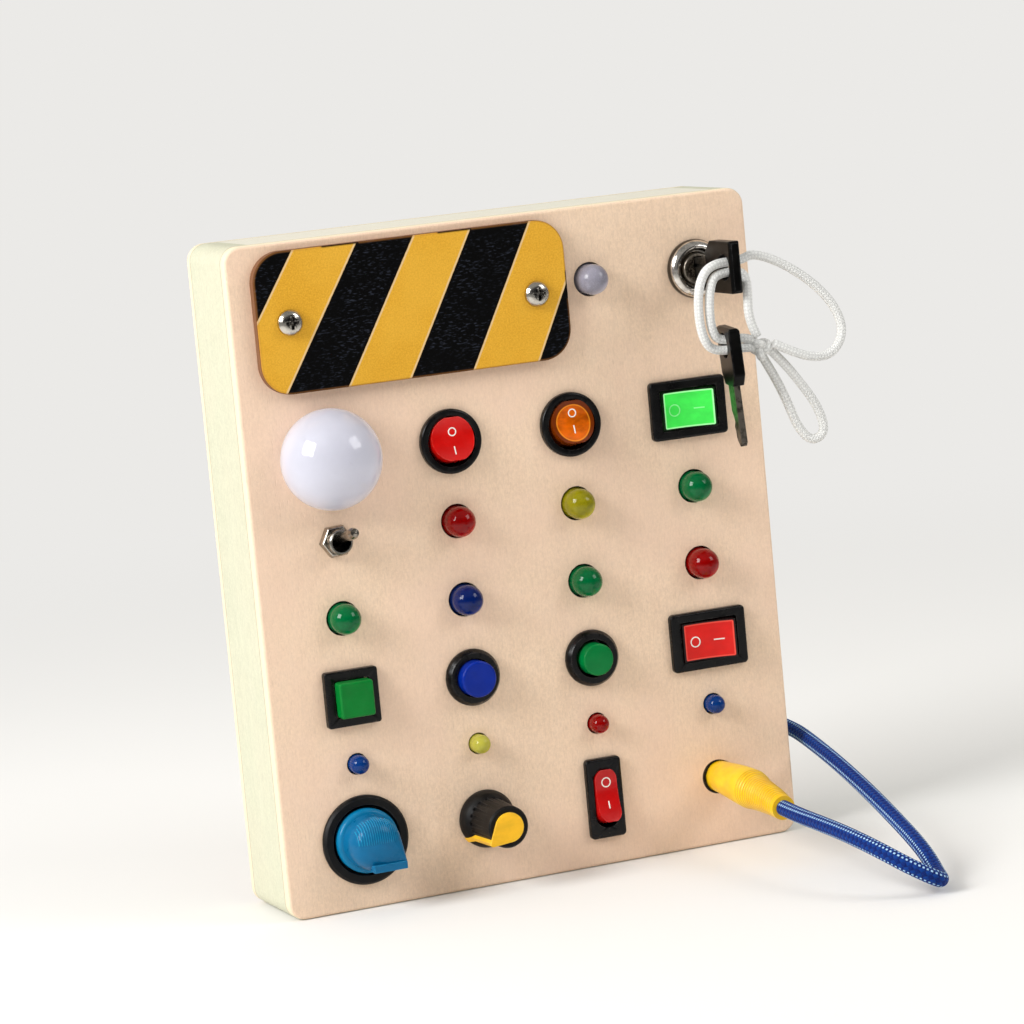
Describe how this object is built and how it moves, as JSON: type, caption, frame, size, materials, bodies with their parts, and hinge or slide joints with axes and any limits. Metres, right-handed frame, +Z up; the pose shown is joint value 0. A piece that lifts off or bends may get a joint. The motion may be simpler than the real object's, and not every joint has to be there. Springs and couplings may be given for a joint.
{
  "type": "busy board",
  "caption": "Wooden busy board for a small child: a shallow box with rocker, toggle, push and rotary switches, lamps, a key lock with tied keys and a plug on a cord.",
  "frame": {"origin": "middle of the box's bottom face, where the upright board rests", "axes": "+Z up, -Y out of the front panel towards the player, +X to the player's right"},
  "size_m": [0.16, 0.127, 0.174],
  "materials": {
    "plywood": "fine vertical grain, oiled",
    "pine": "pale planed wood",
    "plate_yellow": "orange-peel yellow with black slanting stripes",
    "chrome": "polished nickel plating",
    "steel": "plain zinc-plated steel",
    "black_plastic": "satin black moulding",
    "white_plastic": "white moulding",
    "milky": "milky diffusing lens",
    "lamp_green": "tinted epoxy",
    "lamp_red": "tinted epoxy",
    "lamp_yellow": "tinted epoxy",
    "lamp_blue": "tinted epoxy",
    "lamp_white": "clear epoxy",
    "red_plastic": "polished red",
    "amber_plastic": "translucent amber",
    "lit_green": "translucent green, lit from inside",
    "green_plastic": "polished green",
    "blue_plastic": "polished blue",
    "clear_blue": "translucent blue",
    "yellow_plastic": "satin yellow",
    "yellow_rubber": "soft satin yellow",
    "blue_cord": "braided sleeve with light specks",
    "white_cord": "braided string",
    "cell_jacket": "wrapped cell"
  },
  "bodies": {
    "board": {"front_panel": "plywood", "frame_side_bars": "pine", "frame_end_bars": "pine", "back_panel": "plywood", "back_screws": "steel", "hazard_plate": "plate_yellow", "plate_screws": "chrome", "dome_lens": "milky", "dome_base": "white_plastic", "green_lamps": "lamp_green", "red_lamps": "lamp_red", "yellow_lamps": "lamp_yellow", "blue_lamps": "lamp_blue", "white_lamps": "lamp_white", "lamp_legs": "steel", "round_red_housing": "black_plastic", "round_amber_housing": "black_plastic", "green_rocker_housing": "black_plastic", "red_rocker_housing": "black_plastic", "narrow_rocker_housing": "black_plastic", "switch_terminals": "steel", "toggle_body": "chrome", "toggle_nut": "chrome", "square_button_body": "black_plastic", "blue_button_body": "black_plastic", "green_button_body": "black_plastic", "panel_nuts": "steel", "selector_body": "black_plastic", "volume_body": "steel", "lock_barrel": "chrome", "socket": "black_plastic", "plug_cord": "blue_cord", "stop_knot": "blue_cord", "battery_case": "black_plastic", "battery_cells": "cell_jacket", "battery_contacts": "steel"},
    "round_red_rocker": {"round_red_cap": "red_plastic"},
    "round_amber_rocker": {"round_amber_cap": "amber_plastic"},
    "green_rocker": {"green_rocker_cap": "lit_green"},
    "red_rocker": {"red_rocker_cap": "red_plastic"},
    "narrow_rocker": {"narrow_rocker_cap": "red_plastic"},
    "toggle": {"toggle_lever": "chrome"},
    "square_button": {"square_button_cap": "green_plastic"},
    "blue_button": {"blue_button_cap": "blue_plastic"},
    "green_button": {"green_button_cap": "green_plastic"},
    "selector": {"selector_knob": "clear_blue"},
    "volume": {"volume_shaft": "steel", "volume_knob": "black_plastic", "volume_pointer": "yellow_plastic"},
    "lock": {"lock_core": "steel"},
    "key": {"key_head": "black_plastic", "key_blade": "steel", "key_cord": "white_cord", "cord_knot": "white_cord"},
    "spare_key": {"spare_key_head": "black_plastic", "spare_key_blade": "steel"},
    "plug": {"plug_body": "yellow_rubber", "plug_pin": "steel"},
    "lid": {"battery_lid": "black_plastic", "lid_screw": "steel"}
  },
  "joints": [
    {"name": "round_red_rocker_tip", "type": "hinge", "parent": "board", "child": "round_red_rocker", "pos_m": [-0.01665, -0.0135, 0.1177], "axis": [1, 0, 0], "range_deg": [0, 20]},
    {"name": "round_amber_rocker_tip", "type": "hinge", "parent": "board", "child": "round_amber_rocker", "pos_m": [0.01725, -0.0135, 0.1177], "axis": [1, 0, 0], "range_deg": [0, 20]},
    {"name": "green_rocker_tip", "type": "hinge", "parent": "board", "child": "green_rocker", "pos_m": [0.05115, -0.0135, 0.1177], "axis": [0, 0, 1], "range_deg": [0, 20]},
    {"name": "red_rocker_tip", "type": "hinge", "parent": "board", "child": "red_rocker", "pos_m": [0.05115, -0.0135, 0.0557], "axis": [0, 0, 1], "range_deg": [0, 20]},
    {"name": "narrow_rocker_tip", "type": "hinge", "parent": "board", "child": "narrow_rocker", "pos_m": [0.01725, -0.0135, 0.0182], "axis": [1, 0, 0], "range_deg": [0, 20]},
    {"name": "toggle_flip", "type": "hinge", "parent": "board", "child": "toggle", "pos_m": [-0.05055, -0.0155, 0.0964], "axis": [1, 0, 0], "range_deg": [0, 26]},
    {"name": "square_button_press", "type": "slide", "parent": "board", "child": "square_button", "axis": [0, 1, 0], "range_m": [0, 0.0016], "stiffness_N_per_m": 300, "springref_m": -0.002},
    {"name": "blue_button_press", "type": "slide", "parent": "board", "child": "blue_button", "axis": [0, 1, 0], "range_m": [0, 0.0025], "stiffness_N_per_m": 300, "springref_m": -0.002},
    {"name": "green_button_press", "type": "slide", "parent": "board", "child": "green_button", "axis": [0, 1, 0], "range_m": [0, 0.0025], "stiffness_N_per_m": 300, "springref_m": -0.002},
    {"name": "selector_turn", "type": "hinge", "parent": "board", "child": "selector", "pos_m": [-0.05055, -0.015, 0.0182], "axis": [0, 1, 0], "range_deg": [-276, 24]},
    {"name": "volume_turn", "type": "hinge", "parent": "board", "child": "volume", "pos_m": [-0.01665, -0.015, 0.0182], "axis": [0, 1, 0], "range_deg": [-23, 277]},
    {"name": "lock_turn", "type": "hinge", "parent": "board", "child": "lock", "pos_m": [0.0567, -0.015, 0.15405], "axis": [0, 1, 0], "range_deg": [0, 90]},
    {"name": "key_withdraw", "type": "slide", "parent": "lock", "child": "key", "axis": [0, -1, 0], "range_m": [0, 0.012]},
    {"name": "spare_key_swing", "type": "hinge", "parent": "key", "child": "spare_key", "pos_m": [0.0546, -0.0376, 0.1352], "axis": [0.9768, -0.2076, 0.0529], "range_deg": [-30, 30]},
    {"name": "plug_pull", "type": "slide", "parent": "board", "child": "plug", "axis": [0, -1, 0], "range_m": [0, 0.014], "deforming": ["plug_cord"]},
    {"name": "battery_lid_off", "type": "slide", "parent": "board", "child": "lid", "axis": [0, 1, 0], "range_m": [0, 0.02]}
  ]
}
